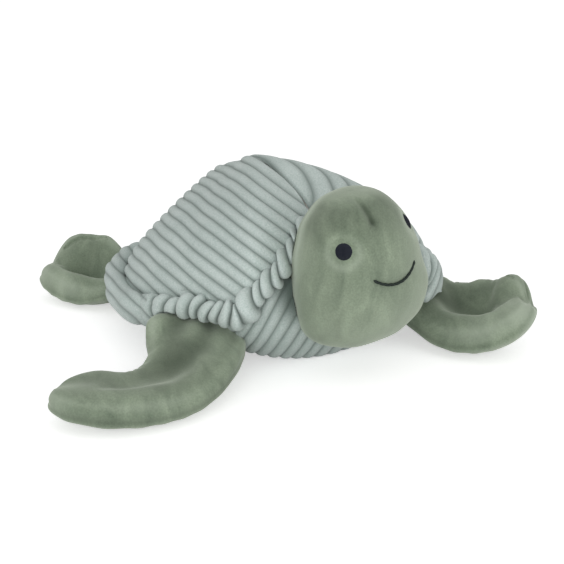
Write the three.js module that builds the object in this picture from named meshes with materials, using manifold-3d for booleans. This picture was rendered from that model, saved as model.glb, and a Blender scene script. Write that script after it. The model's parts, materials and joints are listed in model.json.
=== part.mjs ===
import * as THREE from 'three';
import { mergeVertices } from 'three/addons/utils/BufferGeometryUtils.js';
import Module from 'manifold-3d';

const wasm = await Module();
wasm.setup();

// Plush sea turtle, in millimetres: +X towards the nose, +Y to the turtle's left, +Z up.
// The origin lies under the middle of the belly, on the surface that the toy rests on.

// Cloth and sewing
const corduroyThickness = 2.4;
const velourThickness = 2;
const seatGap = 0.35;
const movingGap = 0.9;
const fillingGap = 3 * seatGap;
const fillingHollow = 19;
const restCut = 0.5;

// Corners nearer than this are one corner
const sameCorner = 0.0001;

// Shell: where its sewn edge runs, and how high the dome stands
const shellFront = 56;
const shellBack = 106;
const shellHalfWidth = 84;
const shellHeight = 99.5;
const shellEdgeHeight = 26;
const neckArchHeight = 76;
const domeFullnessShare = 0.97;

// Gathered rim round the shell
const rimReach = 10;
const rimDepth = 15;
const rimPleatPitch = 10;
const rimPleatDepthShare = 0.26;

// Head, and the ball at its back that seats in the neck hollow
const headBase = 17;
const headHeight = 87.5;
const headHalfLength = 34;
const headHalfWidth = 34.5;
const headForward = 70;
const headRoll = THREE.MathUtils.degToRad(11);
const headTaperShare = 0.14;
const headLean = 4.7;
const headSquarenessShare = 2.6;
const neckRadius = 30;
const neckForward = 52;
const neckHeight = 54;
const headSeamForward = 50;

// Face: sewn on turned a little to the left
const faceTurn = THREE.MathUtils.degToRad(5);
const eyeRadius = 5.3;
const eyeHeight = 83;
const eyeCrown = 1.2;
const eyeBearing = THREE.MathUtils.degToRad(48);
const smileHeight = 59.8;
const smileRise = 6.2;
const smileBearing = THREE.MathUtils.degToRad(24.5);
const smileThread = 0.9;
const eyeStandOff = 0.4;

// Flippers: one set of sizes for the front pair and one for the back pair
const frontFlipper = {
  rootForward: 31,
  rootSide: 72,
  rootHeight: 18,
  rootRadius: 13,
  rootHalfWidth: 23,
  halfWidth: 27,
  tipRound: 38,
  thickness: 8,
  bearing: THREE.MathUtils.degToRad(61),
  hollow: 3,
};
const backFlipper = {
  rootForward: -80,
  rootSide: 54,
  rootHeight: 14,
  rootRadius: 8.5,
  rootHalfWidth: 19,
  halfWidth: 21,
  tipRound: 36,
  thickness: 7,
  bearing: THREE.MathUtils.degToRad(-50),
  hollow: 5,
};

// How each flipper lies: how far it swings forward at its seam, bends back along its length,
// and curls up at its rear edge and its tip. The left front one is drawn up short by its curl.
const backPose = {
  size: backFlipper,
  length: 70,
  swing: 0,
  bend: THREE.MathUtils.degToRad(8),
  edgeLift: 28,
  tipCurl: THREE.MathUtils.degToRad(26),
};
const flipperPoses = {
  front_flipper_left: {
    size: frontFlipper,
    side: 1,
    length: 87,
    swing: THREE.MathUtils.degToRad(43),
    bend: THREE.MathUtils.degToRad(78),
    edgeLift: 22,
    tipCurl: THREE.MathUtils.degToRad(62),
  },
  front_flipper_right: {
    size: frontFlipper,
    side: -1,
    length: 108,
    swing: 0,
    bend: THREE.MathUtils.degToRad(112),
    edgeLift: 2,
    tipCurl: THREE.MathUtils.degToRad(10),
  },
  back_flipper_left: { ...backPose, side: 1 },
  back_flipper_right: { ...backPose, side: -1 },
};

// Where along and across a flipper its form changes
const spreadShare = 0.5;
const settleShare = 0.08;
const hollowWidthShare = 0.45;
const curlStartShare = 0.1;
const curlFromShare = 0.5;
const tipThinShare = 0.7;
const edgeInsetPower = 5;

// How far a flipper drops and lifts at its seam, and how far the head nods up and down
const flapDown = THREE.MathUtils.degToRad(-10);
const flapUp = THREE.MathUtils.degToRad(12);
const nodUp = THREE.MathUtils.degToRad(-5);
const nodDown = THREE.MathUtils.degToRad(8);

// How finely the soft forms are divided
const shellRows = 14;
const shellColumns = 5;
const headRings = 12;
const headSides = 16;
const flipperRows = 9;
const flipperColumns = 5;
const pointsPerPleat = 3;
const seatSides = 12;
const eyeRings = 3;
const eyeSides = 16;
const smileSteps = 12;
const smileSides = 6;
const rimSides = 5;

// Finishes
const corduroy = { color: 0xb4beba, roughness: 0.95, metalness: 0 };
const velour = { color: 0x808d79, roughness: 0.9, metalness: 0 };
const stuffing = { color: 0xf1efe8, roughness: 1, metalness: 0 };
const eyeThread = { color: 0x232838, roughness: 0.6, metalness: 0 };
const smileFloss = { color: 0x26322d, roughness: 0.7, metalness: 0 };

const turtle = new THREE.Group();

function addPiece(name, geometry, finish) {
  geometry.computeVertexNormals();
  const piece = new THREE.Mesh(geometry, new THREE.MeshStandardMaterial(finish));
  piece.name = name;
  turtle.add(piece);
}

// A closed body from a list of points and triangles: corners that meet are merged,
// and triangles that have shrunk to a line are left out.
function closedGeometry(points, triangles) {
  const flat = new THREE.BufferGeometry();
  flat.setAttribute('position', new THREE.Float32BufferAttribute(points.flatMap((p) => [p.x, p.y, p.z]), 3));
  flat.setIndex(triangles.flat());
  const merged = mergeVertices(flat, sameCorner);
  const corners = merged.index.array;
  const kept = [];
  for (let i = 0; i < corners.length; i += 3) {
    const [a, b, c] = [corners[i], corners[i + 1], corners[i + 2]];
    if (a !== b && b !== c && c !== a) {
      kept.push(a, b, c);
    }
  }
  merged.setIndex(kept);
  return merged;
}

// Skin through closed loops of points, with a fan over the first and the last loop.
function loftLoops(loops) {
  const count = loops[0].length;
  const points = loops.flat();
  const triangles = [];
  for (let i = 0; i + 1 < loops.length; i += 1) {
    for (let k = 0; k < count; k += 1) {
      const next = (k + 1) % count;
      const [a, b] = [i * count + k, i * count + next];
      triangles.push([a, b, b + count], [a, b + count, a + count]);
    }
  }
  const last = (loops.length - 1) * count;
  for (let k = 1; k + 1 < count; k += 1) {
    triangles.push([0, k + 1, k], [last, last + k, last + k + 1]);
  }
  return closedGeometry(points, triangles);
}

// A ring of loops that comes back to its first loop.
function loftRing(loops) {
  const count = loops[0].length;
  const triangles = [];
  for (let i = 0; i < loops.length; i += 1) {
    for (let k = 0; k < count; k += 1) {
      const next = (k + 1) % count;
      const [here, there] = [i * count, ((i + 1) % loops.length) * count];
      triangles.push([here + k, here + next, there + next], [here + k, there + next, there + k]);
    }
  }
  return closedGeometry(loops.flat(), triangles);
}

// A cloth panel: an outer and an inner grid of points, closed along its four cut edges.
function panelBetween(outer, inner) {
  const rows = outer.length;
  const columns = outer[0].length;
  const points = [...outer.flat(), ...inner.flat()];
  const innerStart = rows * columns;
  const triangles = [];
  const quad = (a, b, c, d) => triangles.push([a, b, c], [a, c, d]);
  for (let i = 0; i + 1 < rows; i += 1) {
    for (let k = 0; k + 1 < columns; k += 1) {
      const a = i * columns + k;
      quad(a, a + 1, a + columns + 1, a + columns);
      const b = innerStart + a;
      quad(b, b + columns, b + columns + 1, b + 1);
    }
  }
  for (let i = 0; i + 1 < rows; i += 1) {
    const first = i * columns;
    const last = first + columns - 1;
    quad(first, first + columns, innerStart + first + columns, innerStart + first);
    quad(last + columns, last, innerStart + last, innerStart + last + columns);
  }
  for (let k = 0; k + 1 < columns; k += 1) {
    const last = (rows - 1) * columns + k;
    quad(k + 1, k, innerStart + k, innerStart + k + 1);
    quad(last, last + 1, innerStart + last + 1, innerStart + last);
  }
  return closedGeometry(points, triangles);
}

// Solid booleans
function solidOf(geometry) {
  const bare = geometry.clone();
  bare.deleteAttribute('normal');
  bare.deleteAttribute('uv');
  const merged = mergeVertices(bare, sameCorner);
  const mesh = new wasm.Mesh({
    numProp: 3,
    vertProperties: new Float32Array(merged.attributes.position.array),
    triVerts: new Uint32Array(merged.index.array),
  });
  const solid = new wasm.Manifold(mesh);
  if (solid.volume() >= 0) {
    return solid;
  }
  mesh.triVerts.reverse();
  return new wasm.Manifold(mesh);
}

function geometryOf(solid) {
  const { vertProperties, triVerts } = solid.getMesh();
  const geometry = new THREE.BufferGeometry();
  geometry.setAttribute('position', new THREE.Float32BufferAttribute(vertProperties, 3));
  geometry.setIndex(Array.from(triVerts));
  return geometry;
}

function cubeAt(centre) {
  const geometry = new THREE.BoxGeometry(cubeSize, cubeSize, cubeSize);
  geometry.translate(centre.x, centre.y, centre.z);
  return solidOf(geometry);
}

// The main body of a solid that a cut has left with loose chips
function largestBody(solid) {
  const [largest] = solid.decompose().sort((a, b) => b.volume() - a.volume());
  return largest;
}

// Everything above the resting surface, in a cube several toys wide
const cubeSize = 4 * (shellFront + shellBack);
const aboveRest = cubeAt(new THREE.Vector3(0, 0, cubeSize / 2));

// Torso: the sewn edge, the spine seam over it and the keel line under it are three curves;
// the dome and the belly are quarter arcs between them. Shares run [forward, side, height].
const edgeShares = [
  [0.55, 0, 1],
  [0.84, 0.39, 0.7],
  [0.96, 0.66, 0.43],
  [0.93, 0.74, 0.3],
  [0.53, 0.86, 0.27],
  [0.24, 0.93, 0.2],
  [-0.18, 1, 0.02],
  [-0.58, 0.89, 0],
  [-0.9, 0.55, 0],
  [-1, 0, 0.05],
];
const spineFrontShares = [[0.55, 0], [0.17, 0.49]];
const spineBackShares = [[-0.34, 0.98], [-0.52, 0.88], [-0.8, 0.7], [-0.95, 0.31], [-1, 0]];
const keelFrontShares = [[0.55, 1], [0.98, 0.7], [1.1, 0.3]];
const keelBackShares = [[0.85, 0.02], [0.25, 0], [-0.4, 0], [-0.85, 0.06], [-1, 0.38]];
const torsoCore = new THREE.Vector3((shellFront - shellBack) / 2, 0, shellHeight / 2);

const alongShell = (share) => share * (share > 0 ? shellFront : shellBack);
const edgeHeightAt = (share) => shellEdgeHeight + share * (neckArchHeight - shellEdgeHeight);
const edgeTail = edgeHeightAt(edgeShares[edgeShares.length - 1][2]);

function edgeCurve() {
  const left = edgeShares.map(([forward, side, height]) => (
    new THREE.Vector3(alongShell(forward), side * shellHalfWidth, edgeHeightAt(height))));
  const right = left.slice(1, -1).reverse().map((p) => new THREE.Vector3(p.x, -p.y, p.z));
  return new THREE.CatmullRomCurve3([...left, ...right], true);
}

function spineCurve() {
  const overCentre = (foot) => ([forward, rise]) => (
    new THREE.Vector3(alongShell(forward), 0, THREE.MathUtils.lerp(foot, shellHeight, rise)));
  const front = spineFrontShares.map(overCentre(neckArchHeight));
  const back = spineBackShares.map(overCentre(edgeTail));
  return new THREE.CatmullRomCurve3([...front, ...back]);
}

function keelCurve() {
  const [, tailShare] = keelBackShares[keelBackShares.length - 1];
  const underCentre = (top) => ([forward, height]) => (
    new THREE.Vector3(alongShell(forward), 0, height * top - (height === 0 ? restCut : 0)));
  const front = keelFrontShares.map(underCentre(neckArchHeight));
  const back = keelBackShares.map(underCentre(edgeTail / tailShare));
  return new THREE.CatmullRomCurve3([...front, ...back]);
}

const edge = edgeCurve();
const spine = spineCurve();
const keel = keelCurve();

function inward(point, depth, core) {
  const step = core.clone().sub(point);
  return point.clone().add(step.setLength(depth));
}

function domePoint(along, across, side, depth) {
  const rim = edge.getPoint(along / 2);
  const ridge = spine.getPoint(along);
  const turn = across * Math.PI / 2;
  const out = Math.sin(turn) ** domeFullnessShare;
  const down = 1 - Math.cos(turn);
  const point = new THREE.Vector3(
    THREE.MathUtils.lerp(ridge.x, rim.x, out),
    side * rim.y * out,
    THREE.MathUtils.lerp(ridge.z, rim.z, down),
  );
  return inward(point, depth, torsoCore);
}

function bellyPoint(along, across, side, depth) {
  const rim = edge.getPoint(along / 2);
  const base = keel.getPoint(along);
  const turn = across * Math.PI / 2;
  const up = 1 - Math.cos(turn);
  const point = new THREE.Vector3(
    THREE.MathUtils.lerp(base.x, rim.x, up),
    side * rim.y * Math.sin(turn),
    THREE.MathUtils.lerp(base.z, rim.z, up),
  );
  return inward(point, depth, torsoCore);
}

const steps = (count, make) => Array.from({ length: count + 1 }, (_, i) => make(i / count));

function shellPanel(side) {
  const grid = (depth) => steps(shellRows, (along) => (
    steps(shellColumns, (across) => {
      const point = domePoint(along, across, side, depth);
      const seam = side * seatGap / 2;
      point.y = side > 0 ? Math.max(point.y, seam) : Math.min(point.y, seam);
      return point;
    })));
  return solidOf(panelBetween(grid(0), grid(corduroyThickness)));
}

function bellyPanel() {
  const grid = (depth) => steps(shellRows, (along) => (
    steps(2 * shellColumns, (across) => {
      const turn = 2 * across - 1;
      const point = bellyPoint(along, Math.abs(turn), Math.sign(turn), depth);
      point.z -= seatGap;
      return point;
    })));
  return solidOf(panelBetween(grid(0), grid(corduroyThickness)));
}

function torsoForm(depth) {
  const loops = steps(shellRows, (along) => {
    const over = steps(2 * shellColumns, (across) => {
      const turn = 1 - 2 * across;
      return domePoint(along, Math.abs(turn), Math.sign(turn), depth);
    });
    const under = steps(2 * shellColumns, (across) => {
      const turn = 2 * across - 1;
      return bellyPoint(along, Math.abs(turn), Math.sign(turn), depth);
    });
    return [...over.slice(0, -1), ...under.slice(0, -1)];
  });
  return solidOf(loftLoops(loops));
}

// Gathered rim: a roll outside the sewn edge, pinched between its pleats
function shellRim() {
  const pleats = Math.round(edge.getLength() / rimPleatPitch);
  const count = pleats * pointsPerPleat;
  const loops = Array.from({ length: count }, (_, i) => {
    const share = i / count;
    const seam = edge.getPointAt(share);
    const out = seam.clone().sub(torsoCore).normalize();
    const tall = edge.getTangentAt(share).cross(out).normalize();
    const pinch = 1 - rimPleatDepthShare * (0.5 - 0.5 * Math.cos(2 * Math.PI * share * pleats));
    const reach = rimReach / 2 * pinch;
    const centre = seam.clone().addScaledVector(out, seatGap + reach);
    return Array.from({ length: rimSides }, (__, k) => {
      const turn = 2 * Math.PI * k / rimSides;
      return centre.clone()
        .addScaledVector(out, reach * Math.cos(turn))
        .addScaledVector(tall, rimDepth / 2 * pinch * Math.sin(turn));
    });
  });
  return solidOf(loftRing(loops));
}

// Head: level rings from chin to crown, fuller at the jowls, then rolled to the turtle's right
const headCentre = new THREE.Vector3(headForward, 0, headBase + headHeight / 2);

function headPoint(rise, bearing, depth) {
  const level = 2 * rise - 1;
  const round = (1 - Math.abs(level) ** headSquarenessShare) ** (1 / headSquarenessShare);
  const girth = round * (1 - headTaperShare * level);
  return new THREE.Vector3(
    headForward + headLean * level + (headHalfLength - depth) * girth * Math.cos(bearing),
    (headHalfWidth - depth) * girth * Math.sin(bearing),
    headCentre.z + (headHeight / 2 - depth) * level,
  );
}

function headForm(depth, nod = 0) {
  const loops = steps(headRings, (share) => (
    Array.from({ length: headSides }, (_, k) => (
      headPoint((1 - Math.cos(Math.PI * share)) / 2, 2 * Math.PI * k / headSides, depth)))));
  const geometry = rollHead(loftLoops(loops));
  geometry.translate(-neckForward, 0, -neckHeight);
  geometry.rotateY(nod);
  geometry.translate(neckForward, 0, neckHeight);
  return solidOf(geometry);
}

function ballForm(radius) {
  const geometry = new THREE.SphereGeometry(radius, headSides, headRings);
  geometry.rotateX(Math.PI / 2);
  geometry.translate(neckForward, 0, neckHeight);
  return solidOf(geometry);
}

function rollHead(geometry) {
  geometry.translate(0, 0, -headCentre.z);
  geometry.rotateX(headRoll);
  geometry.translate(0, 0, headCentre.z);
  return geometry;
}

// The outer part of a flipper's path curls up along an arc
function curlPath({ length, tipCurl }, distance) {
  const start = curlFromShare * length;
  const beyond = Math.max(distance - start, 0);
  const angle = tipCurl * beyond / (length - start);
  if (angle === 0) {
    return { out: distance, up: 0, angle };
  }
  const arcRadius = beyond / angle;
  return { out: start + arcRadius * Math.sin(angle), up: arcRadius * (1 - Math.cos(angle)), angle };
}

// Flippers: cross sections from the ball-shaped root out to the round tip, along an arc
function flipperPoint(pose, along, across, over, depth) {
  const { size, length, bend, edgeLift } = pose;
  const root = size.rootRadius - depth;
  const reach = length - depth;
  const distance = THREE.MathUtils.lerp(-root, reach, along);
  const past = Math.max(distance, 0) / reach;
  const tipShare = Math.max(distance - (reach - size.tipRound), 0) / size.tipRound;
  const rootCurve = Math.sqrt(Math.max(0, 1 - Math.min(distance / root, 0) ** 2));
  const tipCurve = Math.sqrt(Math.max(0, 1 - tipShare ** 2));
  const spread = THREE.MathUtils.smoothstep(past, 0, spreadShare);
  const halfWidth = THREE.MathUtils.lerp(size.rootHalfWidth, size.halfWidth, spread);
  const width = (halfWidth * across - depth * across ** edgeInsetPower) * rootCurve * tipCurve;
  const halfThickness = THREE.MathUtils.lerp(size.rootRadius, size.thickness, spread) - depth;
  const plump = Math.sqrt(Math.max(0, 1 - across ** 2));
  const lens = halfThickness * rootCurve * tipCurve ** tipThinShare * plump;
  const settle = THREE.MathUtils.smoothstep(past, settleShare, spreadShare);
  const centre = THREE.MathUtils.lerp(size.rootHeight, size.thickness - restCut, settle);
  const dish = size.hollow * settle * Math.exp(-((across / hollowWidthShare) ** 2)) * tipCurve;
  const lift = edgeLift * settle * THREE.MathUtils.smoothstep(-width / size.halfWidth, curlStartShare, 1);
  const half = over ? Math.max(lens - dish, 0) + seatGap / 2 : -lens - seatGap / 2;
  const curled = curlPath(pose, distance);
  const bendRadius = length / bend;
  const turned = Math.max(curled.out, 0) / bendRadius;
  const out = Math.min(curled.out, 0) - half * Math.sin(curled.angle);
  return new THREE.Vector3(
    (bendRadius + width) * Math.cos(turned) - bendRadius - out * Math.sin(turned),
    (bendRadius + width) * Math.sin(turned) + out * Math.cos(turned),
    centre + curled.up + lift + half * Math.cos(curled.angle),
  );
}

function placeFlipper(pose, point, flap) {
  const { size, side, swing } = pose;
  const placed = point.clone();
  placed.z -= size.rootHeight;
  placed.applyAxisAngle(new THREE.Vector3(1, 0, 0), flap);
  placed.applyAxisAngle(new THREE.Vector3(0, 0, 1), -size.bearing - swing);
  placed.add(new THREE.Vector3(size.rootForward, size.rootSide, size.rootHeight));
  placed.y *= side;
  return placed;
}

function flipperGrid(pose, over, depth, flap = 0) {
  return steps(flipperRows, (row) => (
    steps(flipperColumns, (column) => {
      const along = (1 - Math.cos(Math.PI * row)) / 2;
      const across = -Math.cos(Math.PI * column);
      return placeFlipper(pose, flipperPoint(pose, along, across, over, depth), flap);
    })));
}

function flipperPanel(pose, over) {
  return solidOf(panelBetween(flipperGrid(pose, over, 0), flipperGrid(pose, over, velourThickness)));
}

function flipperForm(pose, depth, flap = 0) {
  const tops = flipperGrid(pose, true, depth, flap);
  const bases = flipperGrid(pose, false, depth, flap);
  return solidOf(loftLoops(tops.map((top, i) => [...top, ...bases[i].reverse()])));
}

// A rounded seat about a flipper's hinge, larger than the root by a clearance on all sides
function rootSeat(pose, clearance) {
  const { size, side, swing } = pose;
  const radius = size.rootRadius + clearance;
  const geometry = new THREE.SphereGeometry(1, seatSides, seatSides / 2);
  geometry.rotateZ(Math.PI / 2);
  geometry.scale(size.rootHalfWidth + clearance, radius, radius);
  geometry.rotateZ(side * (-size.bearing - swing));
  geometry.translate(size.rootForward, side * size.rootSide, size.rootHeight);
  return solidOf(geometry);
}

// Room in the torso for the neck and for what the head sweeps as it nods
function headRoom() {
  const nods = [nodUp, 0, nodDown].map((nod) => headForm(-seatGap, nod));
  return nods.reduce((room, form) => room.add(form), ballForm(neckRadius + movingGap));
}

// Room in the torso for each flipper's root and for what the flipper sweeps as it flaps
function flipperRoom(pose) {
  const flaps = [flapDown, flapDown / 2, 0, flapUp / 2, flapUp];
  const forms = flaps.map((flap) => flipperForm(pose, -movingGap, flap));
  return forms.reduce((room, form) => room.add(form), rootSeat(pose, movingGap));
}

const poses = Object.values(flipperPoses);
const room = poses.reduce((whole, pose) => whole.add(flipperRoom(pose)), headRoom());
const fillingRoom = poses.reduce((whole, pose) => whole.add(rootSeat(pose, fillingHollow)), headRoom());
const torso = torsoForm(-seatGap);
addPiece('shell_panel_left', geometryOf(shellPanel(1).subtract(room)), corduroy);
addPiece('shell_panel_right', geometryOf(shellPanel(-1).subtract(room)), corduroy);
addPiece('shell_rim', geometryOf(largestBody(shellRim().subtract(torso).subtract(room))), corduroy);
const belly = largestBody(bellyPanel().subtract(room).intersect(aboveRest));
addPiece('belly_panel', geometryOf(belly), corduroy);
const torsoFilling = torsoForm(corduroyThickness + seatGap).subtract(fillingRoom).subtract(belly);
addPiece('torso_filling', geometryOf(torsoFilling), stuffing);

const headOuter = headForm(0).add(ballForm(neckRadius));
const headInner = headForm(velourThickness).add(ballForm(neckRadius - velourThickness));
const headCore = headForm(velourThickness + seatGap).add(ballForm(neckRadius - velourThickness - seatGap));
const headSkin = headOuter.subtract(headInner);
const seamToCentre = (seatGap + cubeSize) / 2;
const ahead = cubeAt(new THREE.Vector3(headSeamForward + seamToCentre, 0, 0));
const behind = cubeAt(new THREE.Vector3(headSeamForward - seamToCentre, 0, 0));
addPiece('head_face_panel', geometryOf(headSkin.intersect(ahead)), velour);
addPiece('head_back_panel', geometryOf(headSkin.intersect(behind)), velour);
addPiece('head_filling', geometryOf(headCore), stuffing);

// Embroidery: satin-stitched eyes and a line of floss for the smile, laid on the face
function onHead(height, bearing, lift) {
  const rise = (height - headBase) / headHeight;
  return headPoint(rise, bearing, -lift);
}

function headFacing(height, bearing) {
  const step = smileThread;
  const here = onHead(height, bearing, 0);
  const beside = onHead(height, bearing + step / headHalfWidth, 0).sub(here);
  const above = onHead(height + step, bearing, 0).sub(here);
  return beside.cross(above).normalize();
}

function eye(side) {
  const bearing = faceTurn + side * eyeBearing;
  const facing = headFacing(eyeHeight, bearing);
  const rounds = steps(eyeRings, (share) => {
    const turn = share * Math.PI / 2;
    return new THREE.Vector2(eyeRadius * Math.cos(turn), eyeCrown * Math.sin(turn));
  });
  rounds[eyeRings].x = 0;
  const geometry = new THREE.LatheGeometry([new THREE.Vector2(0, 0), ...rounds], eyeSides);
  geometry.applyQuaternion(new THREE.Quaternion().setFromUnitVectors(new THREE.Vector3(0, 1, 0), facing));
  const seat = onHead(eyeHeight, bearing, 0).addScaledVector(facing, eyeStandOff);
  geometry.translate(seat.x, seat.y, seat.z);
  return rollHead(geometry);
}

function smile() {
  const loops = steps(smileSteps, (share) => {
    const turn = 2 * share - 1;
    const bearing = faceTurn + turn * smileBearing;
    const height = smileHeight + smileRise * turn ** 2;
    const facing = headFacing(height, bearing);
    const centre = onHead(height, bearing, 0).addScaledVector(facing, smileThread + eyeStandOff);
    const slope = Math.atan2(2 * smileRise * turn, smileBearing * headHalfLength);
    const upward = new THREE.Vector3(0, 0, 1).applyAxisAngle(facing, slope);
    return Array.from({ length: smileSides }, (_, k) => {
      const round = 2 * Math.PI * k / smileSides;
      return centre.clone()
        .addScaledVector(facing, smileThread * Math.cos(round))
        .addScaledVector(upward, smileThread * Math.sin(round));
    });
  });
  return rollHead(loftLoops(loops));
}

addPiece('eye_left', geometryOf(solidOf(eye(1))), eyeThread);
addPiece('eye_right', geometryOf(solidOf(eye(-1))), eyeThread);
addPiece('smile_stitch', geometryOf(solidOf(smile())), smileFloss);

for (const [name, pose] of Object.entries(flipperPoses)) {
  const top = flipperPanel(pose, true);
  const base = flipperPanel(pose, false).intersect(aboveRest);
  const filling = flipperForm(pose, velourThickness + fillingGap).subtract(top).subtract(base);
  addPiece(`${name}_top`, geometryOf(top), velour);
  addPiece(`${name}_base`, geometryOf(base), velour);
  addPiece(`${name}_filling`, geometryOf(filling), stuffing);
}

export default turtle;
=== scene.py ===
import json
import math

import bmesh
import bpy
import numpy as np
from mathutils import Matrix, Vector
from mathutils.bvhtree import BVHTree
from mathutils.kdtree import KDTree


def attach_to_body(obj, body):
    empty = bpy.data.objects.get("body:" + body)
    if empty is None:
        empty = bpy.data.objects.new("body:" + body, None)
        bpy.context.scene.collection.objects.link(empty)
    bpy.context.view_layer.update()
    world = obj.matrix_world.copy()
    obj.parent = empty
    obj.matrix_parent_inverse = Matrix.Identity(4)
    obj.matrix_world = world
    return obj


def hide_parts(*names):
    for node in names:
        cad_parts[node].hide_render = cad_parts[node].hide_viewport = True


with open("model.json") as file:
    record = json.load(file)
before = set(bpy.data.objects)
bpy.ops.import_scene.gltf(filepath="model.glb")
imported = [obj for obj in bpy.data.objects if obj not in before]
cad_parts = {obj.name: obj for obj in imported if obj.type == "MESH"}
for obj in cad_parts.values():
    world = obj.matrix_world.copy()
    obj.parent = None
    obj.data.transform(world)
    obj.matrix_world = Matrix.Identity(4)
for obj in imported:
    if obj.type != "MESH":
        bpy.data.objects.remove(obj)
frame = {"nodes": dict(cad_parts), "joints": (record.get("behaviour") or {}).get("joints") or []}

# Plush sea turtle in its real size. Lengths here are in millimetres; MM turns them to metres.
# +X is towards the nose, +Y to the turtle's left and +Z up.
MM = 0.001

# Shell
SHELL_FRONT = 56.0
SHELL_BACK = 106.0
SHELL_HALF_WIDTH = 84.0
SHELL_HEIGHT = 99.5
SHELL_EDGE_HEIGHT = 26.0
NECK_ARCH_HEIGHT = 76.0
DOME_FULLNESS = 0.97
REST_CUT = 0.5

# Corduroy with four wales to the inch
WALE_PITCH = 6.35
WALE_HEIGHT = 1.45
WALE_SHARPNESS = 2.5
GROOVE_SHARPNESS = 3.2
# The wales of each shell panel lie where level sheets with this slope would cut the dome,
# so that those of both panels meet in forward-pointing chevrons along the spine.
WALE_SLOPE = np.array([0.092, 0.650, 0.755])
BELLY_SLOPE = np.array([-0.46, -0.74, 0.48])

# How near the panels come to each other, as a share of their length and across the spine,
# and how near the cloth and the finished flippers come to the floor
PANEL_END = 0.0005
SPINE_GAP = 0.2
FLOOR_GAP = 0.02
FLIPPER_FLOOR_GAP = 0.05

# Gathered rim
RIM_REACH = 10.0
RIM_DEPTH = 15.0
PLEAT_PITCH = 7.6
PLEAT_DEPTH = 2.5
TWIST = 3.2
CORNER_SAG = 8.0

# Head
HEAD_BASE = 17.0
HEAD_HEIGHT = 87.5
HEAD_HALF_LENGTH = 34.0
HEAD_HALF_WIDTH = 34.5
HEAD_FORWARD = 70.0
HEAD_ROLL = math.radians(11)
HEAD_TAPER = 0.14
HEAD_LEAN = 4.7
HEAD_SQUARENESS = 2.6
HEAD_SEAM_FORWARD = 50.0
HEAD_MIDDLE = HEAD_BASE + HEAD_HEIGHT / 2
NECK_RADIUS = 30.0
# The head nods about its neck, where and as far as the frame has it
NOD = next(joint for joint in frame["joints"] if joint["child"] == "head")
NECK = np.array(NOD["pos_m"]) / MM
NOD_UP, NOD_DOWN = [math.radians(degrees) for degrees in NOD["range_deg"]]

# Face: sewn on turned a little to the left
FACE_TURN = math.radians(4.7)
EYE_RADIUS = 5.3
EYE_HEIGHT = 83.0
EYE_BEARING = math.radians(50)
EYE_RISE = (EYE_HEIGHT - HEAD_BASE) / HEAD_HEIGHT
EYE_PADDING = 1.5
# The far eye is pulled in further, which the photograph shows as a dent in the brow
EYE_SUNK = {"left": 2.0, "right": 1.0}
EYE_THREAD = 0.45
SMILE_HEIGHT = 59.8
SMILE_RISE = 6.2
SMILE_BEARING = math.radians(24.5)
SMILE_THREAD = 0.8
STITCH_LENGTH = 3.2
DART_SIDE = -3.6
# Where the head is fuller or flatter than its plain form: the place, by how much and how wide
HEAD_FULLNESS = {
    "near jowl": ((64.0, -29.0, 28.0), 3.2, 13.0),
    "far jowl": ((98.0, 6.0, 32.0), -1.6, 14.0),
    "far cheek": ((84.0, 29.0, 46.0), 3.0, 15.0),
    "far brow": ((84.0, 25.0, 92.0), -1.8, 13.0),
}

# Flippers: one cut for the front pair and one for the back pair
FRONT_CUT = {
    "forward": 31.0,
    "out": 72.0,
    "height": 18.0,
    "root_radius": 13.0,
    "root_half_width": 23.0,
    "half_width": 27.0,
    "tip_round": 38.0,
    "thickness": 8.0,
    "bearing": math.radians(61),
    "hollow": 3.0,
    "hollow_spot": (0.38, -0.2),
    # Painted shade below zero and painted light above zero: in the hollow, round the root, over the tip
    # and all over
    "nap_and_painted_light": {"hollow": -0.5, "root": 0.05, "tip": 0.2, "all": -0.14},
}
BACK_CUT = {
    "forward": -80.0,
    "out": 54.0,
    "height": 14.0,
    "root_radius": 8.5,
    "root_half_width": 19.0,
    "half_width": 21.0,
    "tip_round": 36.0,
    "thickness": 7.0,
    "bearing": math.radians(-50),
    "hollow": 5.0,
    "hollow_spot": (0.68, -0.55),
    # Painted shade below zero and painted light above zero: in the hollow, round the root, over the tip
    # and all over
    "nap_and_painted_light": {"hollow": -0.12, "root": 0.0, "tip": 0.15, "all": 0.05},
}

# How each flipper lies: its length, its swing and bend, how far its edge and tip curl up,
# how full its outer half and its elbow are, and how much painted light brightens its outer half
BACK_LIE = {
    "cut": BACK_CUT,
    "length": 70.0,
    "swing": 0.0,
    "bend": math.radians(8),
    "edge_lift": 28.0,
    "tip_curl": math.radians(26),
    "outer_fill": 9.0,
    "elbow_fill": 0.0,
    "outer_painted_light": 0.1,
}
FLIPPERS = {
    "front_flipper_left": {
        "cut": FRONT_CUT,
        "side": 1,
        "length": 87.0,
        "swing": math.radians(43),
        "bend": math.radians(78),
        "edge_lift": 22.0,
        "tip_curl": math.radians(62),
        "outer_fill": 7.0,
        "elbow_fill": 0.0,
        "outer_painted_light": 0.3,
    },
    "front_flipper_right": {
        "cut": FRONT_CUT,
        "side": -1,
        "length": 108.0,
        "swing": 0.0,
        "bend": math.radians(112),
        "edge_lift": 2.0,
        "tip_curl": math.radians(10),
        "outer_fill": 4.5,
        "elbow_fill": 9.5,
        "outer_painted_light": 0.0,
    },
    "back_flipper_left": {**BACK_LIE, "side": 1},
    "back_flipper_right": {**BACK_LIE, "side": -1},
}

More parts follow.
